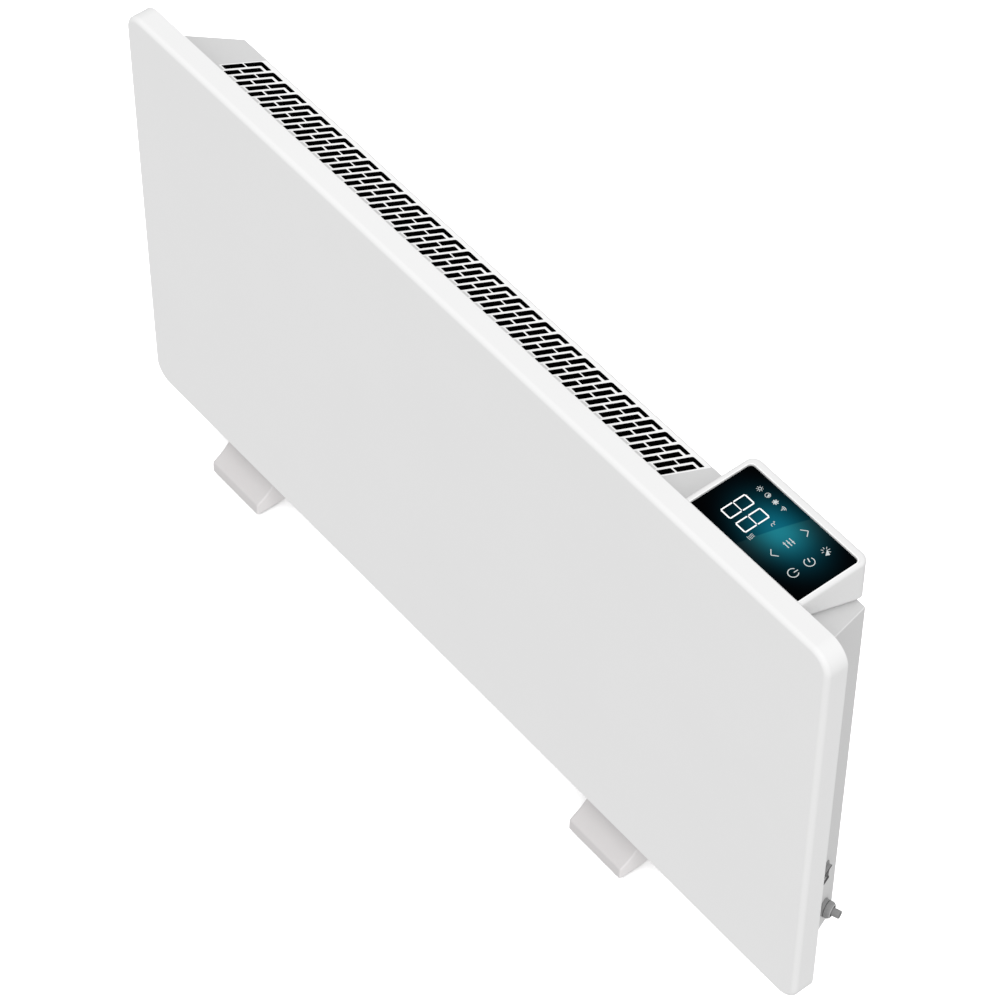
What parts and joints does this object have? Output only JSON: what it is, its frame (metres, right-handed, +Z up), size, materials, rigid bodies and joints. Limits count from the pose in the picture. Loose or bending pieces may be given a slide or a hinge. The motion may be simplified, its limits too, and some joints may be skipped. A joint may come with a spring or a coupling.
{
  "type": "panel convector heater",
  "caption": "Slim white electric panel convector heater with a slotted top outlet, glass touch control box, side rocker switch, cable gland and two floor feet.",
  "frame": {"origin": "middle of the whole box in plan, on the floor under the feet", "axes": "+X along the panel to the control box's end, +Y from the front panel to the rear case, +Z up"},
  "size_m": [0.79, 0.126, 0.4504],
  "materials": {
    "panel_coat": "white satin powder coat",
    "case_coat": "white satin powder coat",
    "bright_steel": "zinc-plated sheet",
    "screw_steel": "zinc-plated",
    "rod_steel": "heat-darkened",
    "fin_aluminium": "extruded, matte",
    "ceramic": "unglazed ceramic",
    "brass": "machined",
    "black_plastic": "fine-textured",
    "inner_plastic": "moulded",
    "base_plastic": "moulded",
    "cover_plastic": "semi-gloss white",
    "foot_plastic": "semi-gloss white",
    "grey_plastic": "moulded nylon",
    "board_green": "solder-masked laminate",
    "yellow_tape": "wound and taped",
    "can_blue": "sleeved can",
    "wire_green": "insulated",
    "wire_blue": "insulated",
    "wire_brown": "insulated",
    "wire_white": "braided sleeve",
    "ribbon_grey": "insulated",
    "black_rubber": "moulded",
    "pad_rubber": "moulded",
    "black_glass": "polished, printed black behind"
  },
  "bodies": {
    "heater": {"front_panel": "panel_coat", "heat_shield": "bright_steel", "shield_spacers": "ceramic", "rear_case": "case_coat", "outlet_grille": "case_coat", "case_screws": "screw_steel", "element_fins": "fin_aluminium", "element_rod": "rod_steel", "element_bracket_left": "bright_steel", "element_bracket_right": "bright_steel", "ceramic_bushes": "ceramic", "element_terminals": "brass", "bracket_screws": "screw_steel", "thermal_cutout": "black_plastic", "cutout_clip": "bright_steel", "room_sensor": "black_plastic", "sensor_clip": "inner_plastic", "partition_plate": "bright_steel", "power_board": "board_green", "board_standoffs": "inner_plastic", "heater_relay": "black_plastic", "transformer": "yellow_tape", "capacitors": "can_blue", "terminal_block": "inner_plastic", "terminal_screws": "brass", "earth_stud": "brass", "earth_wire": "wire_green", "neutral_wire": "wire_blue", "switch_wires": "wire_brown", "element_wires": "wire_white", "sensor_wire": "black_plastic", "display_ribbon": "ribbon_grey", "control_base": "base_plastic", "base_screws": "screw_steel", "board_screws": "screw_steel", "bezel_cover": "cover_plastic", "glass_gasket": "black_rubber", "touch_glass": "black_glass", "display_board": "board_green", "digit_module": "inner_plastic", "touch_springs": "screw_steel", "switch_housing": "grey_plastic", "gland_body": "grey_plastic", "gland_nut": "grey_plastic", "gland_seal": "black_rubber", "gland_locknut": "grey_plastic", "gland_sleeve": "grey_plastic", "tilt_housing": "black_plastic", "foot_left": "foot_plastic", "foot_right": "foot_plastic", "foot_pads": "pad_rubber", "foot_screws": "screw_steel", "foot_nuts": "screw_steel"},
    "rocker": {"rocker_key": "grey_plastic"},
    "tilt_weight": {"tilt_bob": "brass"}
  },
  "joints": [
    {"name": "rocker_pivot", "type": "hinge", "parent": "heater", "child": "rocker", "pos_m": [0.35666, 0.0013, 0.1176], "axis": [-0.3495, 0.9369, 0], "range_deg": [-10, 0]},
    {"name": "tilt_pivot", "type": "hinge", "parent": "heater", "child": "tilt_weight", "pos_m": [0.271, 0.0095, 0.197], "axis": [1, 0, 0], "range_deg": [-20, 20]}
  ]
}
